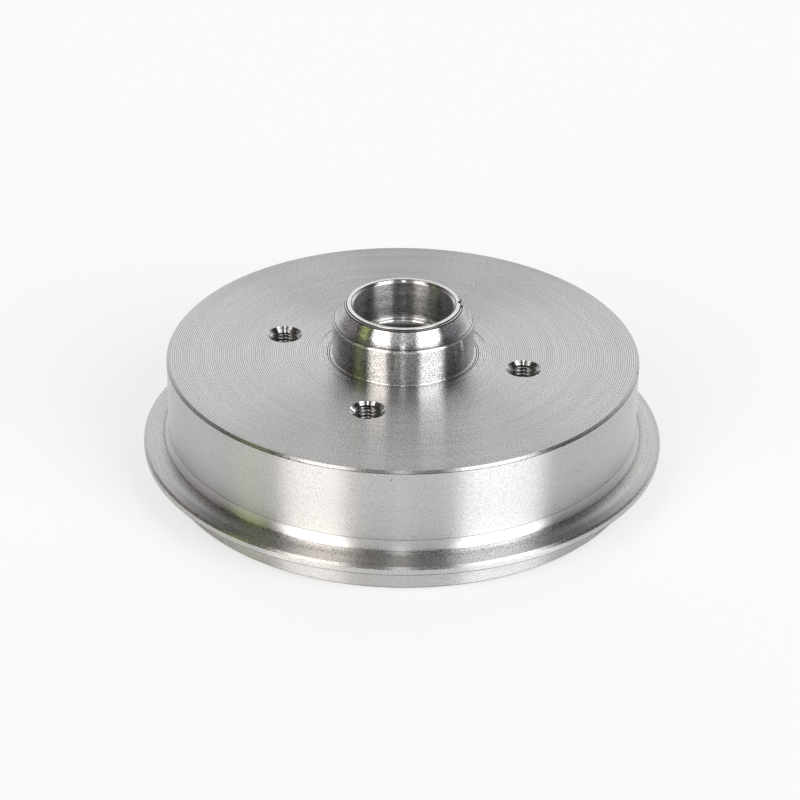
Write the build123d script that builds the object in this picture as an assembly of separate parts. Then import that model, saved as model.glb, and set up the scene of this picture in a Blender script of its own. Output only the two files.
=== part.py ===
from build123d import *
import math
import os

# A rear brake drum with its wheel hub: web, braking ring, flange and bearing hub are one iron
# casting, turned on a lathe wherever something seats, rubs or shows.
# Millimetres. The drum stands on its open rim, as on a bench. The origin is the centre of that
# rim's plane, +Z runs up the axle line to the hub's nose, and the wheel bolt holes lie on X and Y.

# Braking ring: the shoes rub on its inside
BRAKE_DIA = 180.0
RING_WALL = 5.0
DRUM_DEPTH = 51.1  # open rim to wheel face
WEB = 8.1
WEB_CORNER = 3.0  # bevel between the rubbed surface and the web
FACE_BEVEL = 1.0

# Open mouth: a turned lead-in a little wider than the rubbed surface
MOUTH_STEP = 2.0
MOUTH_DEPTH = 5.0
MOUTH_BREAK = 0.6

# Flange round the open end, with the skirt that enters the backing plate's groove
SKIRT_STEP = 1.1
SKIRT_BREAK = 0.6
FLANGE_HEIGHT = 11.6
FLANGE_THICKNESS = 3.4
FLANGE_REACH = 10.2
FLANGE_EDGE = 0.9
FLANGE_COVE = 7.0

# Wheel seat: the wheel centres on the spigot and is bolted against the face
SPIGOT_DIA = 57.0
SPIGOT_LENGTH = 13.6
RELIEF_WIDTH = 5.5  # shallow turned ring round the spigot, which the wheel clears
RELIEF_DEPTH = 0.3
SPIGOT_ROOT = 1.0  # bevel left at the foot of the spigot

# Nose of the hub, which the grease cap fits
NOSE_BEVEL = 1.25
NOSE_CONE_LENGTH = 6.45
NOSE_WALL = 3.3
RIM_BEVEL_WIDTH = 1.1
RIM_BEVEL_HEIGHT = 0.5

# Bearing seats: the outer race goes in from the nose, the inner race and the seal from below
OUTER_SEAT_DIA = 39.88
OUTER_SEAT_LENGTH = 16.0
SEAT_LEAD = 1.0
OUTER_SHOULDER = 2.5
SHOULDER_LENGTH = 3.5
INNER_SEAT_DIA = 50.29
INNER_SEAT_LENGTH = 15.0
INNER_SHOULDER = 4.6
SEAL_STEP = 0.85
SEAL_DEPTH = 8.0
SEAL_LEAD = 0.7

# Hub below the web: a tapered boss that stops short of the open rim
HUB_RECESS = 9.0
HUB_END_WALL = 5.5
HUB_END_BREAK = 1.2
HUB_DRAFT_DEG = 4.0
HUB_ROOT = 5.0  # bevel between the tapered hub and the collar

# Wheel bolts: tapped holes through the web, which is cast thicker behind them and round the hub
BOLT_CIRCLE_DIA = 100.0
BOLT_COUNT = 4
THREAD_DIA = 12.0
THREAD_PITCH = 1.5
SINK_WIDTH = 1.95  # width of the bevel round each hole in the face
BACK_SINK_WIDTH = 1.0
PAD_WALL = 7.8
PAD_HEIGHT = 6.0
PAD_DRAFT_DEG = 8.0
PAD_ROOT = 2.0
PAD_EDGE = 1.2
PAD_BLEND = 6.0
COLLAR_WIDTH = 10.0  # the thick ring of web that joins the pads round the hub

# Worked out
BRAKE_R = BRAKE_DIA / 2
WALL_R = BRAKE_R + RING_WALL
MOUTH_R = BRAKE_R + MOUTH_STEP
SKIRT_R = WALL_R + SKIRT_STEP
FLANGE_R = WALL_R + FLANGE_REACH
FLANGE_TOP = FLANGE_HEIGHT + FLANGE_THICKNESS
WEB_UNDER = DRUM_DEPTH - WEB
SPIGOT_R = SPIGOT_DIA / 2
RELIEF_R = SPIGOT_R + RELIEF_WIDTH
SPIGOT_TOP = DRUM_DEPTH + SPIGOT_LENGTH
NOSE_BASE = SPIGOT_TOP + NOSE_BEVEL
NOSE_TOP = NOSE_BASE + NOSE_CONE_LENGTH
HUB_TOP = NOSE_TOP + RIM_BEVEL_HEIGHT
OUTER_SEAT_R = OUTER_SEAT_DIA / 2
NOSE_R = OUTER_SEAT_R + NOSE_WALL
SHOULDER_R = OUTER_SEAT_R - OUTER_SHOULDER
SHOULDER_TOP = HUB_TOP - SEAT_LEAD - OUTER_SEAT_LENGTH
SHOULDER_UNDER = SHOULDER_TOP - SHOULDER_LENGTH
INNER_SEAT_R = INNER_SEAT_DIA / 2
CAVITY_R = INNER_SEAT_R - INNER_SHOULDER
SEAL_R = INNER_SEAT_R + SEAL_STEP
SEAL_TOP = HUB_RECESS + SEAL_DEPTH
INNER_SEAT_TOP = SEAL_TOP + INNER_SEAT_LENGTH
HUB_END_R = SEAL_R + HUB_END_WALL
HUB_ROOT_R = HUB_END_R + (WEB_UNDER - HUB_RECESS) * math.tan(math.radians(HUB_DRAFT_DEG))
BOLT_CIRCLE_R = BOLT_CIRCLE_DIA / 2
TAP_R = (THREAD_DIA - 5 / 8 * math.sqrt(3) * THREAD_PITCH) / 2
PAD_R = THREAD_DIA / 2 + PAD_WALL
PAD_UNDER = WEB_UNDER - PAD_HEIGHT
COLLAR_R = HUB_ROOT_R + COLLAR_WIDTH
CUT_SPARE = 1.0  # how far a cutter runs past the face that it leaves
EDGE_REACH = 0.001  # how near to a height an edge counts as lying there


def outside():
    """Corners of the half section from the open rim up to the spigot, as (radius, height)."""
    return [
        (MOUTH_R, 0),
        (SKIRT_R, 0),
        (SKIRT_R, FLANGE_HEIGHT),
        (FLANGE_R, FLANGE_HEIGHT),
        (FLANGE_R, FLANGE_TOP),
        (WALL_R, FLANGE_TOP),
        (WALL_R, DRUM_DEPTH),
        (RELIEF_R, DRUM_DEPTH),
        (RELIEF_R, DRUM_DEPTH - RELIEF_DEPTH),
        (SPIGOT_R, DRUM_DEPTH - RELIEF_DEPTH),
        (SPIGOT_R, SPIGOT_TOP),
    ]


def nose_and_bore():
    """Corners over the nose and down through the bearing seats to the hub's inner end."""
    return [
        (SPIGOT_R - NOSE_BEVEL, NOSE_BASE),
        (NOSE_R, NOSE_TOP),
        (NOSE_R - RIM_BEVEL_WIDTH, HUB_TOP),
        (OUTER_SEAT_R + SEAT_LEAD, HUB_TOP),
        (OUTER_SEAT_R, HUB_TOP - SEAT_LEAD),
        (OUTER_SEAT_R, SHOULDER_TOP),
        (SHOULDER_R, SHOULDER_TOP),
        (SHOULDER_R, SHOULDER_UNDER),
        (CAVITY_R, SHOULDER_UNDER - abs(CAVITY_R - SHOULDER_R)),
        (CAVITY_R, INNER_SEAT_TOP),
        (INNER_SEAT_R, INNER_SEAT_TOP),
        (INNER_SEAT_R, SEAL_TOP),
        (SEAL_R, SEAL_TOP),
        (SEAL_R, HUB_RECESS + SEAL_LEAD),
        (SEAL_R + SEAL_LEAD, HUB_RECESS),
    ]


def underside():
    """Corners up the hub's tapered boss, along the web and down the rubbed surface."""
    return [
        (HUB_END_R, HUB_RECESS),
        (HUB_ROOT_R, WEB_UNDER),
        (BRAKE_R, WEB_UNDER),
        (BRAKE_R, MOUTH_DEPTH + MOUTH_STEP),
        (MOUTH_R, MOUTH_DEPTH),
    ]


def corner(section, radius, height):
    """The corner of a half section that lies at a radius and height."""
    return section.vertices().sort_by_distance((radius, height))[0]


def turned_body():
    """The whole drum and hub as turned, before the pads and the bolt holes."""
    section = make_face(Polyline(*outside(), *nose_and_bore(), *underside(), close=True))
    section = fillet(corner(section, WALL_R, FLANGE_TOP), FLANGE_COVE)
    bevels = [
        (SPIGOT_R, DRUM_DEPTH - RELIEF_DEPTH, SPIGOT_ROOT),
        (BRAKE_R, WEB_UNDER, WEB_CORNER),
        (MOUTH_R, 0, MOUTH_BREAK),
        (SKIRT_R, 0, SKIRT_BREAK),
        (FLANGE_R, FLANGE_TOP, FLANGE_EDGE),
        (WALL_R, DRUM_DEPTH, FACE_BEVEL),
        (HUB_END_R, HUB_RECESS, HUB_END_BREAK),
    ]
    for radius, height, size in bevels:
        section = chamfer(corner(section, radius, height), size)
    return revolve(Plane.XZ * section, Axis.Z)


def bolt_places():
    """The wheel bolts' places round the axle line, seen from above."""
    return PolarLocations(BOLT_CIRCLE_R, BOLT_COUNT)


def bolt_pads():
    """The collar round the hub and the pads behind the bolt holes, with their casting draft."""
    outline = Circle(COLLAR_R)
    for place in bolt_places():
        outline += place * Circle(PAD_R)
    outline = fillet(outline.vertices(), PAD_BLEND)
    hub_wall_middle = (CAVITY_R + HUB_ROOT_R) / 2
    pads = extrude(Plane.XY.offset(WEB_UNDER) * outline, -PAD_HEIGHT, taper=PAD_DRAFT_DEG)
    lower_edges = pads.faces().sort_by(Axis.Z)[0].edges()
    return chamfer(lower_edges, PAD_EDGE) - Cylinder(hub_wall_middle, DRUM_DEPTH * 2)


def bolt_hole():
    """The cutter for one tapped hole: the thread's core, opened by a bevel at each end."""
    depth = DRUM_DEPTH - PAD_UNDER
    core = Pos(0, 0, PAD_UNDER + depth / 2) * Cylinder(TAP_R, depth + 2 * CUT_SPARE)
    face_cone = TAP_R + SINK_WIDTH + CUT_SPARE
    face_sink = Pos(0, 0, DRUM_DEPTH + CUT_SPARE - face_cone / 2) * Cone(0, face_cone, face_cone)
    back_cone = TAP_R + BACK_SINK_WIDTH + CUT_SPARE
    back_sink = Pos(0, 0, PAD_UNDER - CUT_SPARE + back_cone / 2) * Cone(back_cone, 0, back_cone)
    return core + face_sink + back_sink


def off_axis(point):
    """How far a point lies from the axle line."""
    return math.hypot(point.X, point.Y)


def edges_at(solid, height, least, most):
    """The edges of a solid that lie flat at a height, between two radii from the axle line."""
    flat = solid.edges().filter_by_position(Axis.Z, height - EDGE_REACH, height + EDGE_REACH)
    return [edge for edge in flat if least < off_axis(edge @ 0.5) < most]


def brake_drum():
    """The finished drum: turned body, pads, and the tapped holes for the wheel bolts."""
    drum = turned_body() + bolt_pads()
    drum = chamfer(edges_at(drum, PAD_UNDER, HUB_END_R, HUB_ROOT_R), HUB_ROOT)
    drum = chamfer(edges_at(drum, WEB_UNDER, HUB_ROOT_R, BRAKE_R - WEB_CORNER), PAD_ROOT)
    for place in bolt_places():
        drum -= place * bolt_hole()
    return drum


drum = brake_drum()
drum.label = "brake_drum"
os.makedirs("parts", exist_ok=True)
export_step(drum, "parts/brake_drum.step")
print("height", round(HUB_TOP, 3), "volume", round(drum.volume))
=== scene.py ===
import logging
import math
from collections.abc import Iterable
from dataclasses import dataclass, field
from enum import Enum

import bpy
import numpy as np
from mathutils import Matrix, Vector


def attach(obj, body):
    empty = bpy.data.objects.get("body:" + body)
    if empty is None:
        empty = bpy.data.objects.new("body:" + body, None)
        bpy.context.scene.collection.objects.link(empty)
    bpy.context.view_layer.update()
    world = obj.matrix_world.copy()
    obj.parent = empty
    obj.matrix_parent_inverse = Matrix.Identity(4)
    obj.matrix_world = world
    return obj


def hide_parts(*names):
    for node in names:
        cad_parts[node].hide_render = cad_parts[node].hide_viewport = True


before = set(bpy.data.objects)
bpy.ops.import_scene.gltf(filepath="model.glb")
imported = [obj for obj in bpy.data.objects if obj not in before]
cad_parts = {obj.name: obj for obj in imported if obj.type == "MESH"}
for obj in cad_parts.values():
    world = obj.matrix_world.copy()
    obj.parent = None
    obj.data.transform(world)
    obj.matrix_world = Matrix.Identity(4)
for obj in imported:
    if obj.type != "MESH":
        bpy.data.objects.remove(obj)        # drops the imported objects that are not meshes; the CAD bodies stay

# The brake drum as turned and tapped iron. Sizes are in millimetres and angles in degrees until
# they reach Blender. The section is drawn as (radius, height) from the open rim's plane.

MM = 0.001
WELD = 1e-6  # metres within which two vertices are one, or lie on a plane
LOG = logging.getLogger("brake_drum")
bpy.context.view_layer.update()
NOISE_LOW, NOISE_HIGH = 0.3, 0.7  # what most of the noise lies between

Corner = tuple[float, float]
Socket = bpy.types.NodeSocket
Signal = Socket | float | tuple[float, ...]
Tint = tuple[float, float, float]


def release() -> None:
    """Leaves edit mode and deselects every object."""
    if bpy.context.mode != "OBJECT":
        bpy.ops.object.mode_set(mode="OBJECT")
    bpy.ops.object.select_all(action="DESELECT")


def take(piece: bpy.types.Object) -> None:
    """Makes a piece the only selected object, and the active one.

    Args:
        piece: The mesh object.
    """
    release()
    piece.select_set(True)
    bpy.context.view_layer.objects.active = piece


def open_mesh(piece: bpy.types.Object, select: str = "SELECT") -> None:
    """Opens a piece in edit mode with all of it selected, or none of it.

    Args:
        piece: The mesh object.
        select: "SELECT" or "DESELECT".
    """
    take(piece)
    bpy.ops.object.mode_set(mode="EDIT")
    bpy.ops.mesh.select_all(action=select)


def heal() -> None:
    """Merges the doubles of the open mesh and turns its faces outwards."""
    bpy.ops.mesh.select_all(action="SELECT")
    bpy.ops.mesh.remove_doubles(threshold=WELD)
    bpy.ops.mesh.normals_make_consistent(inside=False)


def turn_round(steps: int, copies: bool = False) -> None:
    """Turns all of the open mesh once round the axle line, as one skin or as separate copies."""
    bpy.ops.mesh.select_all(action="SELECT")
    bpy.ops.mesh.spin(steps=steps, dupli=copies, angle=math.tau, center=(0, 0, 0), axis=(0, 0, 1))


def corners_of(mesh: bpy.types.Mesh) -> np.ndarray:
    """Reads the vertices of a mesh.

    Args:
        mesh: The mesh.

    Returns:
        One row of x, y and z in millimetres for each vertex.
    """
    places = np.zeros(len(mesh.vertices) * 3)
    mesh.vertices.foreach_get("co", places)
    return places.reshape(-1, 3) / MM


def edge_ends(mesh: bpy.types.Mesh) -> np.ndarray:
    """Reads the edges of a mesh.

    Args:
        mesh: The mesh.

    Returns:
        Two rows, with the number of each edge's first vertex and of its second.
    """
    ends = np.zeros(len(mesh.edges) * 2, dtype=int)
    mesh.edges.foreach_get("vertices", ends)
    return ends.reshape(-1, 2).T


def select_only(piece: bpy.types.Object, kind: str, chosen: np.ndarray) -> None:
    """Opens a piece in edit mode with only the chosen vertices, edges or faces selected.

    Args:
        piece: The mesh object.
        kind: "VERT", "EDGE" or "FACE".
        chosen: One truth value for each element of that kind.
    """
    open_mesh(piece, "DESELECT")
    bpy.ops.mesh.select_mode(type=kind)
    bpy.ops.object.mode_set(mode="OBJECT")
    elements = {"VERT": piece.data.vertices, "EDGE": piece.data.edges, "FACE": piece.data.polygons}
    elements[kind].foreach_set("select", chosen)
    bpy.ops.object.mode_set(mode="EDIT")


def apply_boolean(piece: bpy.types.Object, tool: bpy.types.Object, operation: str) -> None:
    """Unites or cuts a piece with a closed tool, and removes the tool.

    Args:
        piece: The piece that stays.
        tool: The closed mesh that is added or taken away.
        operation: "UNION" or "DIFFERENCE".
    """
    take(piece)
    modifier = piece.modifiers.new(operation.lower(), "BOOLEAN")
    modifier.operation = operation
    modifier.object = tool
    modifier.solver = "MANIFOLD"
    bpy.ops.object.modifier_apply(modifier=modifier.name)
    if piece.modifiers:
        raise ValueError(f"{tool.name} isn't closed, so it can't cut {piece.name}")
    bpy.data.objects.remove(tool)


class Plane(Enum):
    """The plane that an outline is drawn on: the map from its two lengths, and its turning axis."""

    SECTION = ((1, 0, 0), (0, 0, 1), (0, 1, 0))
    PLAN = ((1, 0, 0), (0, 1, 0), (0, 0, -1))

    def vector(self, corner: Corner) -> Vector:
        """The place of a corner of the outline in metres."""
        across, along, _ = self.value
        return (Vector(across) * corner[0] + Vector(along) * corner[1]) * MM


class Outline:
    """An outline drawn in edit mode, one corner after the other."""

    def __init__(self, name: str, start: Corner, plane: Plane = Plane.SECTION) -> None:
        """Starts a new mesh with one vertex.

        Args:
            name: The name of the object.
            start: The first corner in millimetres.
            plane: The plane that holds the outline.
        """
        release()
        self.plane = plane
        self.last = start
        bpy.ops.mesh.primitive_plane_add(size=MM, location=(0, 0, 0))
        self.piece = bpy.context.object
        self.piece.name = name
        open_mesh(self.piece)
        bpy.ops.mesh.select_mode(type="VERT")
        bpy.ops.mesh.merge(type="CENTER")
        bpy.ops.transform.translate(value=plane.vector(start))

    def line(self, *corners: Corner) -> None:
        """Draws straight edges on to each corner in turn.

        Args:
            *corners: The corners in millimetres.
        """
        for corner in corners:
            step = (corner[0] - self.last[0], corner[1] - self.last[1])
            move = {"value": self.plane.vector(step)}
            bpy.ops.mesh.extrude_region_move(TRANSFORM_OT_translate=move)
            self.last = corner

    def arc(self, centre: Corner, turn: float, steps: int) -> None:
        """Draws an arc on from the last corner.

        Args:
            centre: The arc's centre in millimetres.
            turn: The angle in degrees, anticlockwise as the outline is drawn.
            steps: The number of edges.
        """
        axis = Vector(self.plane.value[2])
        bpy.ops.mesh.spin(
            steps=steps, angle=math.radians(turn), center=self.plane.vector(centre), axis=axis
        )
        swing = Matrix.Rotation(math.radians(turn), 2)
        arm = Vector((self.last[0] - centre[0], self.last[1] - centre[1]))
        self.last = tuple(Vector(centre) + swing @ arm)

    def close(self) -> None:
        """Joins the last corner to the first, and leaves the whole outline selected."""
        bpy.ops.mesh.select_all(action="SELECT")
        bpy.ops.mesh.remove_doubles(threshold=WELD)

    def round_off(self, corner: Corner, offset: float, steps: int) -> None:
        """Rounds one corner of the outline.

        Args:
            corner: The corner's place in millimetres.
            offset: How far from the corner the rounding starts on each side.
            steps: The number of edges of the rounding. One edge makes a bevel.
        """
        bpy.ops.object.mode_set(mode="OBJECT")
        places = corners_of(self.piece.data)
        wanted = np.array(self.plane.vector(corner)) / MM
        nearest = np.linalg.norm(places - wanted, axis=1).argmin()
        select_only(self.piece, "VERT", np.arange(len(places)) == nearest)
        bpy.ops.mesh.bevel(affect="VERTICES", offset=offset * MM, segments=steps, profile=0.5)


@dataclass(frozen=True)
class Section:
    """The turned half section of the drum, from the open rim over the hub to the rubbed surface."""

    brake_r: float = 90.0
    wall_r: float = 95.0
    mouth_r: float = 92.0
    mouth_depth: float = 5.0
    skirt_r: float = 96.1
    flange_r: float = 105.2
    flange_under: float = 11.6
    flange_top: float = 15.0
    cove_r: float = 7.0
    cove_step: float = 5.6
    wall_rows: tuple[float, ...] = (34.8, 36.6, 46.6)
    face: float = 51.1
    face_bevel: float = 1.0
    groove_depth: float = 0.1
    groove_pitch: float = 0.85286
    relief_r: float = 34.3
    relief_depth: float = 0.3
    relief_ridge: float = 33.3
    relief_pitch: float = 0.8
    plain_r: float = 30.9
    foot_grooves: tuple[Corner, ...] = ((30.5, 0.2), (29.7, 0.25))
    foot_groove_half: float = 0.15
    foot_r: float = 29.3
    cove_lines: tuple[float, ...] = (45.0, 81.5)
    line_turn: float = 0.7
    line_depth: float = 0.08
    spigot_r: float = 28.5
    spigot_row: float = 60.0
    cone_end: Corner = (25.6, 68.6)
    cone_slope: float = 60.3
    ledge_slope: float = 36.0
    nose_fillet: float = 7.2
    nose_fillet_steps: int = 7
    nose_top: Corner = (23.55, 72.2)
    rim_foot: Corner = (23.0, 72.46)
    rim_groove: Corner = (22.8, 72.26)
    rim: Corner = (22.58, 72.9)
    ledge_groove: float = 0.15
    ledge_groove_in: float = 1.0
    ledge_groove_half: float = 0.15
    outer_seat_r: float = 19.94
    outer_seat_end: float = 55.9
    shoulder_r: float = 17.44
    shoulder_edge: Corner = (18.3, 54.3)
    shoulder_length: float = 3.5
    shoulder_middle: float = 55.4
    shoulder_half: float = 1.05
    bore_split: float = 49.0
    cavity_r: float = 20.545
    inner_seat_r: float = 25.145
    inner_seat_top: float = 32.0
    seal_r: float = 25.995
    seal_top: float = 17.0
    seat_lead: float = 1.0
    seal_lead: float = 0.7
    hub_end: float = 9.0
    hub_end_r: float = 31.495
    hub_draft: float = 4.0
    hub_root: float = 5.0
    collar_under: float = 37.03
    collar_r: float = 41.0
    web_under: float = 43.0
    web_corner: float = 3.0
    rubbed_top: float = 41.0
    rubbed_from: float = 80.0
    flange_from: float = 96.5
    hub_end_to: float = 32.495
    steps: int = 256

    def cut_grooves(self, outline: Outline, height: float, inner: float, wanted: float) -> None:
        """Draws the tool's grooves inwards along a flat surface.

        Args:
            outline: The outline, whose last corner is the outermost ridge.
            height: The height of the ridges.
            inner: The radius of the innermost ridge.
            wanted: The grooves' pitch, which is adjusted to fit a whole number of them.
        """
        outer = outline.last[0]
        count = round((outer - inner) / wanted)
        pitch = (outer - inner) / count
        for groove in range(count):
            ridge = outer - (groove + 1) * pitch
            outline.line((ridge + pitch / 2, height - self.groove_depth), (ridge, height))

    def draw_cove(self, outline: Outline) -> None:
        """Draws the cove on from the flange, with the fine lines where the tool's passes meet.

        Args:
            outline: The outline, whose last corner is the cove's outer end.
        """
        reached = 0.0
        for turn in (*self.cove_lines, 90.0):
            steps = max(2, round((turn - reached) / self.cove_step))
            outline.arc(self.cove_centre(), reached - turn, steps)
            if turn < 90.0:
                reached = turn + 2 * self.line_turn
                lowest = self.on_cove(turn + self.line_turn, self.line_depth)
                outline.line(lowest, self.on_cove(reached))

    def cove_centre(self) -> Corner:
        """The centre of the cove's arc."""
        return self.wall_r + self.cove_r, self.flange_top + self.cove_r

    def on_cove(self, turn: float, sunk: float = 0.0) -> Corner:
        """Finds a place on the cove.

        Args:
            turn: The angle round the cove, counted from the flange.
            sunk: How far the place lies under the surface.

        Returns:
            The place.
        """
        reach, angle = self.cove_r + sunk, math.radians(turn)
        radius, height = self.cove_centre()
        return radius - reach * math.sin(angle), height - reach * math.cos(angle)

    def ledge_end(self) -> Corner:
        """Finds where the fillet at the nose's foot meets the ledge round the spigot's end.

        Returns:
            The place.
        """
        steep, gentle = math.radians(self.cone_slope), math.radians(self.ledge_slope)
        out = self.nose_fillet * (math.sin(steep) - math.sin(gentle))
        down = self.nose_fillet * (math.cos(gentle) - math.cos(steep))
        return self.cone_end[0] + out, self.cone_end[1] - down

    def spigot_top(self) -> float:
        """The height at which the ledge would meet the spigot's side."""
        radius, height = self.ledge_end()
        return height - (self.spigot_r - radius) * math.tan(math.radians(self.ledge_slope))

    def on_ledge(self, inward: float, sunk: float = 0.0) -> Corner:
        """Finds a place on the ledge.

        Args:
            inward: The way along the ledge from the spigot's edge.
            sunk: How far the place lies under the surface.

        Returns:
            The place.
        """
        slope = math.radians(self.ledge_slope)
        radius = self.spigot_r - inward * math.cos(slope) - sunk * math.sin(slope)
        return radius, self.spigot_top() + inward * math.sin(slope) - sunk * math.cos(slope)

    def hub_r(self, height: float) -> float:
        """The radius of the tapered hub below the web at a height."""
        return self.hub_end_r + (height - self.hub_end) * math.tan(math.radians(self.hub_draft))

    def draw(self) -> Outline:
        """Draws the half section with sharp corners and its grooves.

        Returns:
            The outline, open in edit mode.
        """
        outline = Outline("brake_drum_turned", (self.mouth_r, 0))
        outline.line(
            (self.skirt_r, 0),
            (self.skirt_r, self.flange_under),
            (self.flange_r, self.flange_under),
            (self.flange_r, self.flange_top),
            (self.wall_r + self.cove_r, self.flange_top),
        )
        self.draw_cove(outline)
        for height in (*self.wall_rows, self.face - self.face_bevel):
            outline.line((self.wall_r, height))
        outline.line((self.wall_r - self.face_bevel, self.face))
        self.cut_grooves(outline, self.face, self.relief_r, self.groove_pitch)
        relief = self.face - self.relief_depth
        outline.line((self.relief_r, relief), (self.relief_ridge, relief))
        self.cut_grooves(outline, relief, self.plain_r, self.relief_pitch)
        for radius, depth in self.foot_grooves:
            half = self.foot_groove_half
            outline.line((radius + half, relief), (radius, relief - depth), (radius - half, relief))
        outline.line(
            (self.spigot_r, relief),
            (self.spigot_r, self.spigot_row),
            (self.spigot_r, self.spigot_top()),
            self.on_ledge(self.ledge_groove_in - self.ledge_groove_half),
            self.on_ledge(self.ledge_groove_in, self.ledge_groove),
            self.on_ledge(self.ledge_groove_in + self.ledge_groove_half),
            self.ledge_end(),
        )
        steep = math.radians(self.cone_slope)
        centre = (
            self.cone_end[0] + self.nose_fillet * math.sin(steep),
            self.cone_end[1] + self.nose_fillet * math.cos(steep),
        )
        outline.arc(centre, self.ledge_slope - self.cone_slope, self.nose_fillet_steps)
        outline.line(
            self.nose_top,
            self.rim_foot,
            self.rim_groove,
            self.rim,
            (self.outer_seat_r + self.seat_lead, self.rim[1]),
            (self.outer_seat_r, self.rim[1] - self.seat_lead),
            (self.outer_seat_r, self.outer_seat_end),
            (self.shoulder_edge[0], self.outer_seat_end),
            (self.shoulder_r, self.shoulder_edge[1]),
            (self.shoulder_r, self.outer_seat_end - self.shoulder_length),
        )
        cone = self.outer_seat_end - self.shoulder_length - (self.cavity_r - self.shoulder_r)
        outline.line(
            (self.cavity_r, cone),
            (self.cavity_r, self.inner_seat_top),
            (self.inner_seat_r, self.inner_seat_top),
            (self.inner_seat_r, self.seal_top),
            (self.seal_r, self.seal_top),
            (self.seal_r, self.hub_end + self.seal_lead),
            (self.seal_r + self.seal_lead, self.hub_end),
            (self.hub_end_r, self.hub_end),
            (self.hub_r(self.collar_under), self.collar_under),
            (self.collar_r, self.collar_under),
            (self.collar_r, self.web_under),
            (self.brake_r, self.web_under),
            (self.brake_r, self.mouth_depth + self.mouth_r - self.brake_r),
            (self.mouth_r, self.mouth_depth),
            (self.mouth_r, 0),
        )
        outline.close()
        return outline

    def roundings(self) -> list[tuple[Corner, float, int]]:
        """Lists the corners that are bevelled or rounded.

        Returns:
            Each corner with its offset and its number of edges.
        """
        relief = self.face - self.relief_depth
        hub_root = self.hub_root * math.tan(math.radians((90 - self.hub_draft) / 2))
        return [
            ((self.mouth_r, 0), 0.6, 1),
            ((self.skirt_r, 0), 0.6, 1),
            ((self.skirt_r, self.flange_under), 0.6, 4),
            ((self.flange_r, self.flange_under), 0.35, 2),
            ((self.flange_r, self.flange_top), 0.9, 1),
            ((self.wall_r, self.face - self.face_bevel), 0.12, 2),
            ((self.spigot_r, relief), 0.5, 5),
            ((self.spigot_r, self.spigot_top()), 0.7, 6),
            (self.nose_top, 0.25, 4),
            (self.rim, 0.1, 2),
            ((self.outer_seat_r + self.seat_lead, self.rim[1]), 0.16, 2),
            ((self.outer_seat_r, self.rim[1] - self.seat_lead), 0.2, 3),
            ((self.outer_seat_r, self.outer_seat_end), 0.4, 4),
            ((self.shoulder_edge[0], self.outer_seat_end), 0.3, 3),
            ((self.cavity_r, self.inner_seat_top), 0.4, 1),
            ((self.inner_seat_r, self.inner_seat_top), 0.4, 3),
            ((self.hub_end_r, self.hub_end), 1.2, 4),
            ((self.hub_r(self.collar_under), self.collar_under), hub_root, 6),
            ((self.brake_r, self.web_under), self.web_corner, 6),
        ]

    def build(self) -> bpy.types.Object:
        """Draws the section, rounds its corners and turns it into a closed body.

        Returns:
            The turned body.
        """
        outline = self.draw()
        for corner, offset, steps in self.roundings():
            outline.round_off(corner, offset, steps)
        turn_round(self.steps)
        heal()
        release()
        return outline.piece

    def painted_shade_lines(self) -> list[tuple[Corner, float]]:
        """Lists the corners, tool lines and groove bottoms of the section that are painted dark as
        shade.

        Returns:
            The middle of each with its reach.
        """
        relief = self.face - self.relief_depth
        lines = [
            (self.nose_top, 0.26),
            (self.rim_groove, 0.2),
            ((self.rim[0] + 0.1, self.rim[1] - 0.32), 0.25),
            ((self.outer_seat_r + self.seat_lead, self.rim[1]), 0.18),
            (self.on_ledge(self.ledge_groove_in, self.ledge_groove / 2), 0.12),
            ((self.wall_r, self.face - self.face_bevel), 0.12),
            ((self.flange_r - 0.1, self.flange_under + 0.1), 0.2),
            ((self.skirt_r - 0.3, 0.3), 0.2),
        ]
        for turn in self.cove_lines:
            lines.append((self.on_cove(turn + self.line_turn, self.line_depth / 2), 0.09))
        return lines + [((radius, relief - depth / 2), 0.12) for radius, depth in self.foot_grooves]


def steps_along(places: list[Corner]) -> list[Corner]:
    """The steps from each place of a row to the next."""
    pairs = zip(places, places[1:])
    return [(after[0] - before[0], after[1] - before[1]) for before, after in pairs]


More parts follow.
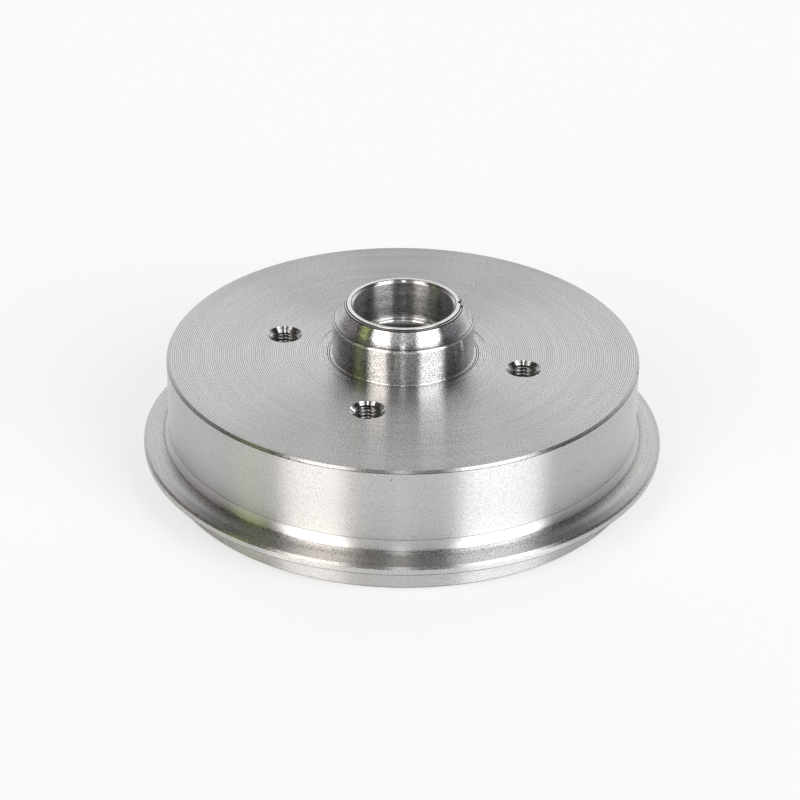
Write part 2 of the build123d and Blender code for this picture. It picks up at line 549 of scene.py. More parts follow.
@dataclass(frozen=True)
class BoltPattern:
    """The four tapped holes for the wheel bolts, with the cast pads behind them."""

    circle_r: float = 50.0
    count: int = 4
    major_r: float = 6.0
    minor_r: float = 5.188
    pitch: float = 1.5
    face: float = 51.1
    face_sink: float = 1.95
    pad_under: float = 37.0
    back_sink: float = 1.0
    pad_r: float = 13.8
    collar_r: float = 43.87
    collar_inside: float = 39.5
    blend_r: float = 6.0
    web_under: float = 43.0
    sunk: float = 1.5
    draft: float = 8.0
    root_r: float = 2.0
    edge_r: float = 1.2
    spare: float = 1.5
    lead_turns: int = 3
    spare_turns: int = 5
    phase: float = 0.49
    sink_tip: float = 1.0
    thread_steps: int = 48
    sink_steps: int = 96
    pad_arc_steps: int = 24
    blend_arc_steps: int = 12
    collar_arc_steps: int = 16
    collar_steps: int = 128
    rounding_steps: int = 5

    def thread(self) -> bpy.types.Object:
        """The cutter for one thread: a closed core with its ridges along a right-hand helix.

        Returns:
            The cutter, which stands on the axle line.
        """
        flat = self.pitch / 8
        flank = self.pitch * 5 / 16
        base = self.pad_under - self.lead_turns * self.pitch + self.phase
        outline = Outline("thread_cutter", (self.minor_r, base))
        outline.line(
            (self.minor_r, base + 2 * flat),
            (self.major_r, base + 2 * flat + flank),
            (self.major_r, base + 3 * flat + flank),
            (self.minor_r, base + self.pitch),
        )
        take(outline.piece)
        turns = math.ceil((self.face - self.pad_under) / self.pitch) + self.spare_turns
        screw = outline.piece.modifiers.new("thread", "SCREW")
        screw.screw_offset = self.pitch * MM
        screw.iterations = turns
        screw.steps = screw.render_steps = self.thread_steps
        bpy.ops.object.modifier_apply(modifier=screw.name)
        open_mesh(outline.piece)
        bpy.ops.mesh.remove_doubles(threshold=WELD)
        for height, above in ((self.pad_under - self.spare, False), (self.face + self.spare, True)):
            bpy.ops.mesh.select_all(action="SELECT")
            bpy.ops.mesh.bisect(
                plane_co=(0, 0, height * MM),
                plane_no=(0, 0, 1),
                use_fill=True,
                threshold=WELD,
                clear_inner=not above,
                clear_outer=above,
            )
        bpy.ops.mesh.select_all(action="SELECT")
        bpy.ops.mesh.normals_make_consistent(inside=False)
        return outline.piece

    def sink(self, width: float, height: float, upward: bool) -> bpy.types.Object:
        """The cutter for the bevel at one end of a hole.

        Args:
            width: The bevel's width.
            height: The height of the surface that it opens.
            upward: Whether the hole opens upwards there.

        Returns:
            The cutter, which stands on the axle line.
        """
        sign = 1 if upward else -1
        tip = self.minor_r - self.sink_tip
        wide = self.minor_r + width + self.spare
        outline = Outline("sink_cutter", (0, height + sign * self.spare))
        outline.line(
            (wide, height + sign * self.spare),
            (tip, height + sign * (self.spare + tip - wide)),
            (0, height + sign * (self.spare + tip - wide)),
        )
        turn_round(self.sink_steps)
        heal()
        return outline.piece

    def spread(self, tool: bpy.types.Object) -> bpy.types.Object:
        """Moves a cutter from the axle line to the first hole, and copies it to the others.

        Args:
            tool: The cutter on the axle line.

        Returns:
            The same object, with one shell at each hole.
        """
        open_mesh(tool)
        bpy.ops.transform.translate(value=(self.circle_r * MM, 0, 0))
        turn_round(self.count, copies=True)
        heal()
        release()
        return tool

    def pads(self) -> bpy.types.Object:
        """The collar and the pads behind the holes, with casting draft and rounded edges.

        Returns:
            The pads as one closed ring, sunk a little into the web.
        """
        grown = self.root_r
        collar = self.collar_r + grown
        pad = self.pad_r + grown
        blend = self.blend_r - grown
        arm = collar + blend
        reach = pad + blend
        at_axle = math.acos((arm**2 + self.circle_r**2 - reach**2) / (2 * arm * self.circle_r))
        at_pad = math.acos((reach**2 + self.circle_r**2 - arm**2) / (2 * reach * self.circle_r))
        pad_turn = 180 - math.degrees(at_pad)
        lean = math.degrees(at_axle)
        quarter = 360 / self.count
        outline = Outline("pads", (self.circle_r + pad, 0), Plane.PLAN)
        outline.arc((self.circle_r, 0), pad_turn, self.pad_arc_steps)
        middle = (arm * math.cos(at_axle), arm * math.sin(at_axle))
        outline.arc(middle, -(pad_turn - lean), self.blend_arc_steps)
        outline.arc((0, 0), quarter - 2 * lean, self.collar_arc_steps)
        far = math.radians(quarter) - at_axle
        middle = (arm * math.cos(far), arm * math.sin(far))
        outline.arc(middle, -(pad_turn - lean), self.blend_arc_steps)
        outline.arc((0, self.circle_r), pad_turn, self.pad_arc_steps)
        turn_round(self.count, copies=True)
        outline.close()
        bpy.ops.transform.translate(value=(0, 0, (self.web_under + self.sunk) * MM))
        bpy.ops.mesh.edge_face_add()
        bpy.ops.mesh.extrude_region_move(TRANSFORM_OT_translate={"value": (0, 0, -self.sunk * MM)})
        for inward, down in self.pad_steps():
            bpy.ops.mesh.inset(thickness=inward * MM, depth=0)
            bpy.ops.transform.translate(value=(0, 0, -down * MM))
        bpy.ops.mesh.select_all(action="SELECT")
        bpy.ops.mesh.normals_make_consistent(inside=False)
        release()
        bpy.ops.mesh.primitive_cylinder_add(
            vertices=self.collar_steps,
            radius=self.collar_inside * MM,
            depth=4 * self.web_under * MM,
            location=(0, 0, 0),
        )
        apply_boolean(outline.piece, bpy.context.object, "DIFFERENCE")
        return outline.piece

    def pad_steps(self) -> list[Corner]:
        """Walks down the pads' side over the root, the draft and the edge.

        Returns:
            The steps as (inward, down).
        """
        lean = math.radians(self.draft)
        quarter = math.pi / 2 - lean
        rounds = self.rounding_steps
        turns = [quarter * step / rounds for step in range(rounds + 1)]
        reach = self.root_r
        root = [(reach * math.sin(turn), reach * (1 - math.cos(turn))) for turn in turns]
        height = self.web_under - self.pad_under
        straight = height - root[-1][1] - self.edge_r * (1 - math.sin(lean))
        edge = [
            (
                self.edge_r * (math.cos(lean) - math.cos(lean + turn)),
                self.edge_r * (math.sin(lean + turn) - math.sin(lean)),
            )
            for turn in turns
        ]
        draft = (straight * math.tan(lean), straight)
        return [*steps_along(root), draft, *steps_along(edge)]

    def from_hole(self, places: np.ndarray) -> np.ndarray:
        """Measures how far places are from the middle of their nearest hole, seen from above.

        Args:
            places: Rows of x, y and z in millimetres.

        Returns:
            One distance in millimetres for each place.
        """
        turns = [math.tau * hole / self.count for hole in range(self.count)]
        spots = [(self.circle_r * math.cos(turn), self.circle_r * math.sin(turn)) for turn in turns]
        return np.min([np.hypot(places[:, 0] - x, places[:, 1] - y) for x, y in spots], axis=0)


@dataclass(frozen=True)
class Nick:
    """A small dent or pore in the turned surface. A dark one is filled with painted shade.

    Azimuth, radius and height give its place. Tilt is the surface's angle from the axle line's
    direction: 0 on a face that looks up, 90 on a wall. Around and along are its half lengths.
    """

    azimuth: float
    radius: float
    height: float
    tilt: float
    around: float
    along: float
    depth: float
    # Whether the dent is painted near-black as shade.
    dark: bool = True
    slack: float = 1.02

    def middle(self) -> Vector:
        """The centre of the ellipsoid that leaves the dent, in millimetres."""
        return self.turn() @ Vector((0, 0, self.depth)) + Matrix.Rotation(
            math.radians(self.azimuth), 3, "Z"
        ) @ Vector((self.radius, 0, self.height))

    def turn(self) -> Matrix:
        """The turn that brings the ellipsoid's Z on to the surface's normal."""
        return Matrix.Rotation(math.radians(self.azimuth), 3, "Z") @ Matrix.Rotation(
            math.radians(self.tilt), 3, "Y"
        )

    def cutter(self) -> bpy.types.Object:
        """Makes the ellipsoid that leaves the dent.

        Returns:
            The closed cutter at its place.
        """
        release()
        bpy.ops.mesh.primitive_ico_sphere_add(
            subdivisions=2,
            radius=MM,
            location=self.middle() * MM,
            rotation=(0, math.radians(self.tilt), math.radians(self.azimuth)),
            scale=(self.along, self.around, 2 * self.depth),
        )
        bpy.ops.object.transform_apply(location=True, rotation=True, scale=True)
        return bpy.context.object

    def holds(self, places: np.ndarray) -> np.ndarray:
        """Finds the places that lie in the ellipsoid, or on it.

        Args:
            places: Rows of x, y and z in millimetres.

        Returns:
            One truth value for each place.
        """
        local = (places - np.array(self.middle())) @ np.array(self.turn())
        halves = (self.along, self.around, 2 * self.depth)
        return np.linalg.norm(local / halves, axis=1) < self.slack


# Dents and pores; the dark ones are painted near-black as shade.
NICKS = (
    Nick(19.0, 22.4, 72.9, 0, 1.3, 0.9, 0.6),
    Nick(12.0, 23.0, 72.5, 25, 1.8, 0.6, 0.4),
    Nick(25.0, 23.3, 72.35, 45, 1.4, 0.5, 0.4),
    Nick(222.5, 89.3, 51.1, 0, 0.35, 0.35, 0.2),
    Nick(209.4, 85.2, 51.1, 0, 0.35, 0.3, 0.2),
    Nick(344.0, 95.0, 47.8, 90, 0.35, 0.3, 0.2),
    Nick(340.7, 95.0, 49.5, 90, 0.3, 0.25, 0.15),
    Nick(330.8, 95.0, 35.7, 90, 0.35, 0.3, 0.2),
    Nick(312.3, 95.0, 48.3, 90, 0.35, 0.3, 0.2),
    Nick(283.2, 95.0, 47.5, 90, 0.5, 0.25, 0.12),
    *(
        Nick(azimuth, 94.9, 50.15, 60, around, 0.3, 0.15)
        for azimuth, around in (
            (254.6, 0.9),
            (256.7, 0.7),
            (258.9, 1.0),
            (261.6, 0.6),
            (326.0, 0.8),
            (331.5, 1.0),
            (336.8, 0.9),
        )
    ),
    Nick(6.5, 94.5, 50.6, 45, 0.8, 0.4, 0.25),
    Nick(181.4, 94.5, 50.6, 45, 0.8, 0.4, 0.25),
    Nick(339.0, 28.5, 62.6, 90, 0.16, 1.9, 0.08, dark=False),
)


class Zone(Enum):
    """The stretches of the surface that are finished alike."""

    FACE = 0
    WALL = 1
    HUB = 2
    SEAT = 3
    CAST = 4
    RUBBED = 5
    THREAD = 6
    BEVEL = 7
    # Near-black painted shade at corners, in grooves and in dents.
    CORNER = 8
    FLANGE = 9
    RIM = 10
    SHOULDER = 11
    SINK = 12
    RELIEF = 13
    INNER_SEAT = 14


class NodeBoard:
    """A node tree that is filled from code, with short calls for the nodes used most."""

    def __init__(self, tree: bpy.types.NodeTree) -> None:
        """Clears a node tree."""
        self.tree = tree
        tree.nodes.clear()

    def add(self, kind: str, settings: dict | None = None, **inputs: Signal) -> bpy.types.Node:
        """Adds a node.

        Args:
            kind: The node's type without "ShaderNode".
            settings: Properties of the node itself.
            **inputs: Sockets by name, with "_" for a space. A socket is linked, a number is set.

        Returns:
            The node.
        """
        node = self.tree.nodes.new("ShaderNode" + kind)
        for name, value in (settings or {}).items():
            setattr(node, name, value)
        for name, value in inputs.items():
            self.feed(node.inputs[name.replace("_", " ")], value)
        return node

    def feed(self, socket: Socket, value: Signal) -> None:
        """Links a socket to an input, or sets the input's value.

        Args:
            socket: The input.
            value: The socket that is linked, or the value that is set.
        """
        if isinstance(value, Socket):
            self.tree.links.new(value, socket)
        else:
            socket.default_value = value

    def operate(self, kind: str, operation: str, values: Iterable[Signal]) -> bpy.types.Node:
        """Adds a math node.

        Args:
            kind: "Math" or "VectorMath".
            operation: The node's operation.
            values: What its inputs get, in their order.

        Returns:
            The node.
        """
        node = self.add(kind, {"operation": operation})
        for socket, value in zip(node.inputs, values):
            self.feed(socket, value)
        return node

    def math(self, operation: str, *values: Signal) -> Socket:
        """The result of a math node on numbers or sockets."""
        return self.operate("Math", operation, values).outputs[0]

    def vector(self, operation: str, *values: Signal) -> Socket:
        """The result of a vector math node on vectors or sockets."""
        node = self.operate("VectorMath", operation, values)
        return node.outputs["Value" if operation == "LENGTH" else "Vector"]

    def scaled(self, way: Signal, factor: Signal) -> Socket:
        """A vector times a number."""
        node = self.add("VectorMath", {"operation": "SCALE"}, Vector=way, Scale=factor)
        return node.outputs["Vector"]

    def noise(self, place: Socket, scale: float, detail: float = 2.0) -> Socket:
        """Noise from 0 to 1 at a place."""
        settings = {"noise_dimensions": "3D"}
        return self.add("TexNoise", settings, Vector=place, Scale=scale, Detail=detail).outputs[0]

    def remap(
        self,
        value: Signal,
        low: float,
        high: float,
        to_low: float,
        to_high: float,
        smooth: bool = False,
    ) -> Socket:
        """Maps a range of values on to another, held at both ends.

        Args:
            value: The value.
            low: The low end of its range.
            high: The high end of its range.
            to_low: What the low end becomes.
            to_high: What the high end becomes.
            smooth: Whether the way from one to the other is eased.

        Returns:
            The mapped value.
        """
        kind = "SMOOTHSTEP" if smooth else "LINEAR"
        node = self.add("MapRange", {"interpolation_type": kind, "clamp": True}, Value=value)
        ends = {"From Min": low, "From Max": high, "To Min": to_low, "To Max": to_high}
        for name, number in ends.items():
            node.inputs[name].default_value = number
        return node.outputs[0]

    def swing(self, noise: Socket, reach: float) -> Socket:
        """Noise spread out on both sides of zero."""
        return self.remap(noise, NOISE_LOW, NOISE_HIGH, -reach, reach)

    def colour(self, tone: Socket, shares: Tint) -> Socket:
        """Makes a colour from a tone.

        Args:
            tone: The socket with the tone.
            shares: How much of it red, green and blue get.

        Returns:
            The colour.
        """
        node = self.add("CombineColor")
        for socket, share in zip(node.inputs, shares):
            self.feed(socket, self.math("MULTIPLY", tone, share))
        return node.outputs[0]

    def bump(self, height: Socket, depth: float, **under: Socket) -> Socket:
        """The normal of a relief, with its depth in millimetres, on a normal under it."""
        node = self.add("Bump", Strength=1.0, Distance=depth * MM, Height=height, **under)
        return node.outputs[0]


def new_material(name: str) -> tuple[bpy.types.Material, NodeBoard]:
    """Makes an empty material.

    Args:
        name: The material's name.

    Returns:
        The material and its node board.
    """
    made = bpy.data.materials.new(name)
    made.use_nodes = True
    return made, NodeBoard(made.node_tree)


@dataclass(frozen=True)
class TurnedFinish:
    """Iron as a lathe leaves it: fine rings, blurred gloss across them, and small pores."""

    name: str
    tone: float = 0.58
    warmth: float = 0.01
    roughness: float = 0.36
    rough_swing: float = 0.12
    stretch: float = 1.0
    ring_pitch: float = 0.25
    ring_depth: float = 0.002
    ring_tone: float = 0.05
    height_share: float = -1.7
    wander: float = 1.2
    broad_pitches: float = 9.0
    broad_wander: float = 0.7
    speckle: float = 0.04
    grain: float = 0.5
    grain_depth: float = 0.01
    cloud_scale: float = 28.0
    cloud_tone: float = 0.015
    # How much lighter the groove ridges and darker the valleys are: partly painted shade in the
    # grooves, partly the duller metal there.
    groove_shade: float = 0.0
    groove_pitch: float = 0.85286
    outer_ridge: float = 94.0
    holes_r: float = 0.0

    def material(self) -> bpy.types.Material:
        """Makes the finish as a material on object coordinates.

        Returns:
            The material.
        """
        made, board = new_material(self.name)
        place = board.add("TexCoord").outputs["Object"]
        flat = board.vector("MULTIPLY", place, (1, 1, 0))
        if self.holes_r:
            flat = board.vector("SUBTRACT", flat, self.nearest_hole(board, place))
        outward = board.vector("NORMALIZE", flat)
        radius = board.vector("LENGTH", flat)
        height = board.add("SeparateXYZ", Vector=place).outputs["Z"]
        travel = board.math("MULTIPLY_ADD", height, self.height_share, radius)
        rings = self.ring_noise(board, outward, travel, self.ring_pitch, self.wander)
        broad_pitch = self.ring_pitch * self.broad_pitches
        broad = self.ring_noise(board, outward, travel, broad_pitch, self.broad_wander)
        grain = board.noise(place, 1 / (self.grain * MM), 1.0)
        cloud = board.noise(place, self.cloud_scale, 3.0)
        tone = board.swing(rings, self.ring_tone)
        others = ((broad, self.ring_tone / 2), (grain, self.speckle), (cloud, self.cloud_tone))
        for noise, reach in others:
            tone = board.math("ADD", tone, board.swing(noise, reach))
        # Lighter ridges and darker valleys between the turned grooves: partly painted shade in the
        # grooves, partly the duller metal of the valleys.
        if self.groove_shade:
            inward = board.math("SUBTRACT", radius, self.outer_ridge * MM)
            turns = board.math("MULTIPLY", inward, math.tau / (self.groove_pitch * MM))
            tone = board.math("MULTIPLY_ADD", board.math("COSINE", turns), self.groove_shade, tone)
        tone = board.math("MULTIPLY_ADD", tone, self.tone, self.tone)
        smooth, rough = (self.roughness * (1 + sign * self.rough_swing) for sign in (-1, 1))
        bump = board.bump(grain, self.grain_depth)
        bump = board.bump(rings, self.ring_depth, Normal=bump)
        shader = board.add(
            "BsdfPrincipled",
            Base_Color=board.colour(tone, (1 + self.warmth, 1.0, 1 - self.warmth)),
            Metallic=1.0,
            Roughness=board.remap(grain, 0.25, 0.75, smooth, rough),
            Anisotropic=self.stretch,
            Anisotropic_Rotation=0.25,
            Tangent=board.vector("CROSS_PRODUCT", (0, 0, 1), outward),
            Normal=bump,
        )
        board.add("OutputMaterial", Surface=shader.outputs[0])
        return made

    def nearest_hole(self, board: NodeBoard, place: Socket) -> Socket:
        """Finds the middle of the hole that a place belongs to.

        Args:
            board: The node board.
            place: The socket with the place.

        Returns:
            The socket with the hole's place on the bolt circle.
        """
        x, y, _ = board.add("SeparateXYZ", Vector=place).outputs
        on_x = board.math("GREATER_THAN", board.math("ABSOLUTE", x), board.math("ABSOLUTE", y))
        reach_x = board.math("MULTIPLY", on_x, self.holes_r * MM)
        reach_y = board.math("SUBTRACT", self.holes_r * MM, reach_x)
        across = board.math("MULTIPLY", board.math("SIGN", x), reach_x)
        up = board.math("MULTIPLY", board.math("SIGN", y), reach_y)
        return board.add("CombineXYZ", X=across, Y=up).outputs[0]

    def ring_noise(
        self, board: NodeBoard, outward: Socket, travel: Socket, pitch: float, wander: float
    ) -> Socket:
        """Makes noise drawn out into rings round the axle line.

        Args:
            board: The node board.
            outward: The socket with the unit vector away from the axle line.
            travel: The socket with the way along the section in metres.
            pitch: The rings' mean distance in millimetres.
            wander: How fast a ring changes on its way round.

        Returns:
            The socket with the noise from 0 to 1.
        """
        along = board.math("MULTIPLY", travel, 1 / (pitch * MM))
        along = board.add("CombineXYZ", Z=along).outputs[0]
        return board.noise(board.vector("ADD", along, board.scaled(outward, wander)), 1.0)


@dataclass(frozen=True)
class CastFinish:
    """Iron as it leaves a sand mould: dull, grey and rough."""

    name: str
    tone: float = 0.2
    roughness: float = 0.62
    rough_swing: float = 0.1
    metallic: float = 0.85
    tint: Tint = (1.02, 1.0, 0.97)
    sand_scale: float = 900.0
    sand_tones: tuple[float, float] = (0.8, 1.15)
    patch_scale: float = 70.0
    patch_tone: float = 0.15
    patch_height: float = 0.6
    bump_depth: float = 0.12

    def material(self) -> bpy.types.Material:
        """Makes the finish as a material on object coordinates.

        Returns:
            The material.
        """
        made, board = new_material(self.name)
        place = board.add("TexCoord").outputs["Object"]
        sand = board.noise(place, self.sand_scale, 3.0)
        patches = board.noise(place, self.patch_scale, 4.0)
        tone = board.remap(sand, NOISE_LOW, NOISE_HIGH, *self.sand_tones)
        tone = board.math("ADD", tone, board.swing(patches, self.patch_tone))
        tone = board.math("MULTIPLY", tone, self.tone)
        height = board.math("MULTIPLY_ADD", patches, self.patch_height, sand)
        smooth, rough = (self.roughness * (1 + sign * self.rough_swing) for sign in (-1, 1))
        shader = board.add(
            "BsdfPrincipled",
            Base_Color=board.colour(tone, self.tint),
            Metallic=self.metallic,
            Roughness=board.remap(patches, NOISE_LOW, NOISE_HIGH, smooth, rough),
            Normal=board.bump(height, self.bump_depth),
        )
        board.add("OutputMaterial", Surface=shader.outputs[0])
        return made


FINISHES = {
    Zone.FACE: TurnedFinish(
        "grooved_face",
        tone=0.49,
        roughness=0.22,
        ring_pitch=0.5,
        ring_tone=0.06,
        groove_shade=0.27,
        speckle=0.25,
    ),
    Zone.WALL: TurnedFinish(
        "turned_wall", tone=0.655, roughness=0.33, ring_pitch=0.5, ring_tone=0.03, speckle=0.18
    ),
    Zone.HUB: TurnedFinish(
        "turned_hub",
        tone=0.56,
        roughness=0.22,
        ring_pitch=0.5,
        ring_tone=0.12,
        wander=20,
        speckle=0.4,
        grain_depth=0.018,
    ),
    Zone.SEAT: TurnedFinish(
        "bored_seat",
        tone=0.415,
        roughness=0.36,
        ring_pitch=0.35,
        ring_tone=0.5,
        wander=9,
        speckle=0.3,
        grain_depth=0.004,
    ),
    Zone.CAST: CastFinish("cast_skin"),
    Zone.RUBBED: TurnedFinish("brake_surface", tone=0.5, roughness=0.36, ring_pitch=0.35),
    Zone.THREAD: TurnedFinish(
        "tapped_thread", tone=0.3, roughness=0.16, stretch=0.0, ring_tone=0.02, holes_r=50
    ),
    Zone.BEVEL: TurnedFinish("bevelled_edge", tone=0.52, roughness=0.3, speckle=0.25, grain=0.7),
    # Painted shade: the near-black tone of the dark corner lines, groove bottoms and dents.
    Zone.CORNER: TurnedFinish("painted_shade", tone=0.04, roughness=0.35, stretch=0.0, speckle=0.2),
    Zone.FLANGE: TurnedFinish(
        "turned_flange",
        tone=0.5,
        warmth=0.02,
        roughness=0.28,
        ring_pitch=0.4,
        ring_tone=0.14,
        speckle=0.25,
    ),
    Zone.RIM: TurnedFinish(
        "turned_rim", tone=0.7, roughness=0.2, ring_pitch=0.4, ring_tone=0.1, speckle=0.2
    ),
    Zone.SHOULDER: TurnedFinish(
        "bored_shoulder", tone=0.74, roughness=0.15, ring_pitch=0.4, speckle=0.1
    ),
    Zone.SINK: TurnedFinish(
        "countersink",
        tone=0.64,
        roughness=0.15,
        stretch=0.8,
        ring_pitch=0.3,
        ring_tone=0.15,
        speckle=0.3,
        holes_r=50,
    ),
    Zone.RELIEF: TurnedFinish(
        "turned_relief",
        tone=0.5,
        roughness=0.22,
        ring_pitch=0.5,
        groove_shade=0.3,
        groove_pitch=0.8,
        outer_ridge=33.3,
        speckle=0.35,
    ),
    Zone.INNER_SEAT: TurnedFinish(
        "inner_seat", tone=0.5, roughness=0.3, ring_pitch=0.3, ring_tone=0.12, speckle=0.1
    ),
}


@dataclass
class BrakeDrum:
    """The drum with its hub: one iron casting, turned and tapped."""

    section: Section = field(default_factory=Section)
    bolts: BoltPattern = field(default_factory=BoltPattern)
    smooth_angle: float = 30.0
    face_reach: float = 0.4
    relief_reach: float = 0.7
    wide: float = 0.1
    close: float = 0.05
    tight: float = 0.01
    hole_slack: float = 0.02
    level: float = 0.99

    def build(self) -> bpy.types.Object:
        """Builds, cuts, shades and dresses the drum.

        Returns:
            The finished piece.
        """
        drum = self.section.build()
        bolts = self.bolts
        apply_boolean(drum, bolts.pads(), "UNION")
        apply_boolean(drum, bolts.spread(bolts.thread()), "DIFFERENCE")
        ends = ((bolts.face_sink, bolts.face, True), (bolts.back_sink, bolts.pad_under, False))
        for width, height, upward in ends:
            apply_boolean(drum, bolts.spread(bolts.sink(width, height, upward)), "DIFFERENCE")
        apply_boolean(drum, self.dents(), "DIFFERENCE")
        open_mesh(drum)
        bpy.ops.mesh.dissolve_degenerate(threshold=WELD)
        release()
        self.dress(drum)
        self.shade(drum)
        return drum

    def dents(self) -> bpy.types.Object:
        """Makes the cutters of all dents and pores.

        Returns:
            The cutters as one object.
        """
        cutters = [nick.cutter() for nick in NICKS]
        release()
        for cutter in cutters:
            cutter.select_set(True)
        bpy.ops.object.join()
        return bpy.context.object

    def zones(self, drum: bpy.types.Object) -> np.ndarray:
        """Finds each face's zone by its place and its normal. A later zone covers an earlier one.

        Wide, close and tight are the slacks within which a face counts as lying on a surface.

        Args:
            drum: The drum's mesh object.

        Returns:
            One zone number for each face.
        """
        faces = drum.data.polygons
        centres, normals = np.zeros(len(faces) * 3), np.zeros(len(faces) * 3)
        faces.foreach_get("center", centres)
        faces.foreach_get("normal", normals)
        places = centres.reshape(-1, 3) / MM
        radius, z = np.hypot(places[:, 0], places[:, 1]), places[:, 2]
        lift = np.abs(normals.reshape(-1, 3)[:, 2])
        section, bolts = self.section, self.bolts
        bevel_r = section.wall_r - section.face_bevel
        deep = z > section.face - self.relief_reach
        bore = radius < section.outer_seat_r + self.tight
        inside = (radius < section.seal_r + self.wide) & (z < section.bore_split)
        low = z < section.web_under + self.wide
        in_ring = radius < section.brake_r - self.close
        hub_end = (z < section.hub_end + self.wide) & (radius < section.hub_end_to)
        rubbed = (radius < section.brake_r + self.wide) & (radius > section.rubbed_from)
        flange = (radius > section.flange_from) & (radius <= section.flange_r - self.wide)
        cavity = (radius < section.cavity_r + self.close) & (z < section.shoulder_edge[1])
        shoulder = np.abs(z - section.shoulder_middle) < section.shoulder_half
        sink_r = bolts.minor_r + bolts.face_sink - self.hole_slack
        hole = (bolts.from_hole(places) < sink_r) & (lift < self.level)
        layers = [
            (Zone.FACE, (z > section.face - self.face_reach) & (radius < bevel_r)),
            (Zone.RELIEF, deep & (radius < section.relief_r)),
            (Zone.HUB, deep & (radius < section.foot_r)),
            (Zone.SEAT, bore & (z > section.bore_split)),
            (Zone.INNER_SEAT, inside),
            (Zone.CAST, low & in_ring & ~inside),
            (Zone.INNER_SEAT, hub_end),
            (Zone.RUBBED, rubbed & (z < section.rubbed_top)),
            (Zone.BEVEL, (radius > bevel_r) & (z > section.face - section.face_bevel)),
            (Zone.FLANGE, flange & (z > section.flange_under)),
            (Zone.RIM, z > section.nose_top[1] - self.close),
            (Zone.CAST, cavity & (z > section.inner_seat_top)),
            (Zone.SHOULDER, bore & shoulder),
        ]
        # Painted shade: dark lines at the corners and groove bottoms, then the dark dents.
        for middle, reach in section.painted_shade_lines():
            layers.append((Zone.CORNER, np.hypot(radius - middle[0], z - middle[1]) < reach))
        layers += [
            (Zone.CORNER, self.dented(drum, all_of_them=False)),
            (Zone.THREAD, hole),
            (Zone.SINK, hole & (np.abs(lift - math.sqrt(0.5)) < self.close)),
        ]
        zones = np.full(len(faces), Zone.WALL.value)
        for zone, held in layers:
            zones[held] = zone.value
        return zones

    def dented(self, drum: bpy.types.Object, all_of_them: bool = True) -> np.ndarray:
        """Finds the faces of the drum whose corners all lie in dents.

        Args:
            drum: The drum's mesh object.
            all_of_them: Whether every dent counts, or only the ones painted dark as shade.

        Returns:
            One truth value for each face.
        """
        mesh = drum.data
        places = corners_of(mesh)
        held = np.any([nick.holds(places) for nick in NICKS if nick.dark or all_of_them], axis=0)
        corners = np.zeros(len(mesh.loops), dtype=int)
        mesh.loops.foreach_get("vertex_index", corners)
        sides = np.zeros(len(mesh.polygons), dtype=int)
        mesh.polygons.foreach_get("loop_total", sides)
        faces = np.repeat(np.arange(len(sides)), sides)
        return np.bincount(faces, weights=held[corners]) == sides

    def dress(self, drum: bpy.types.Object) -> None:
        """Gives each zone of the drum its material.

        Args:
            drum: The drum's mesh object.
        """
        drum.data.materials.clear()
        for zone in Zone:
            drum.data.materials.append(FINISHES[zone].material())
        drum.data.polygons.foreach_set("material_index", self.zones(drum))

    def shade(self, drum: bpy.types.Object) -> None:
        """Shades the drum smooth, apart from its corners and the ridges between the grooves.

        Args:
            drum: The drum's mesh object.
        """
        places = corners_of(drum.data)
        radius = np.hypot(places[:, 0], places[:, 1])
        face, relief = self.section.face, self.section.face - self.section.relief_depth
        off = np.minimum(np.abs(places[:, 2] - face), np.abs(places[:, 2] - relief))
        at_face = off < self.section.groove_depth / 4
        first, second = edge_ends(drum.data)
        outside = radius[first] > self.section.plain_r - self.wide
        ridge = at_face[first] & at_face[second] & outside
        select_only(drum, "EDGE", ridge)
        bpy.ops.mesh.mark_sharp()
        select_only(drum, "FACE", self.dented(drum))
        bpy.ops.mesh.region_to_loop()
        bpy.ops.mesh.mark_sharp()
        take(drum)
        angle = math.radians(self.smooth_angle)
        bpy.ops.object.shade_smooth_by_angle(angle=angle, keep_sharp_edges=True)
        self.smooth_threads(drum)
        take(drum)
        weigh = drum.modifiers.new("weigh", "WEIGHTED_NORMAL")
        weigh.keep_sharp = True
        bpy.ops.object.modifier_apply(modifier=weigh.name)

    def smooth_threads(self, drum: bpy.types.Object) -> None:
        """Rounds the look of the threads' crests, so that each carries its highlight.

        Args:
            drum: The drum's mesh object.
        """
        bolts = self.bolts
        places = corners_of(drum.data)
        z = places[:, 2]
        low = bolts.pad_under + bolts.back_sink + self.hole_slack
        high = bolts.face - bolts.face_sink - self.hole_slack
        near = bolts.from_hole(places) < bolts.major_r + self.close
        inside = near & (z > low) & (z < high)
        first, second = edge_ends(drum.data)
        select_only(drum, "EDGE", inside[first] & inside[second])
        bpy.ops.mesh.mark_sharp(clear=True)


@dataclass(frozen=True)
class Panel:
    """A soft light panel of the studio, seen from the drum.

    Azimuth is counted from the camera's side, positive to the camera's right.
    """

    azimuth: float
    half_width: float
    low: float
    high: float
    light: float
    tint: Tint = (1.0, 1.0, 1.0)
    soft: float = 4.0
    soft_height: float = 8.0


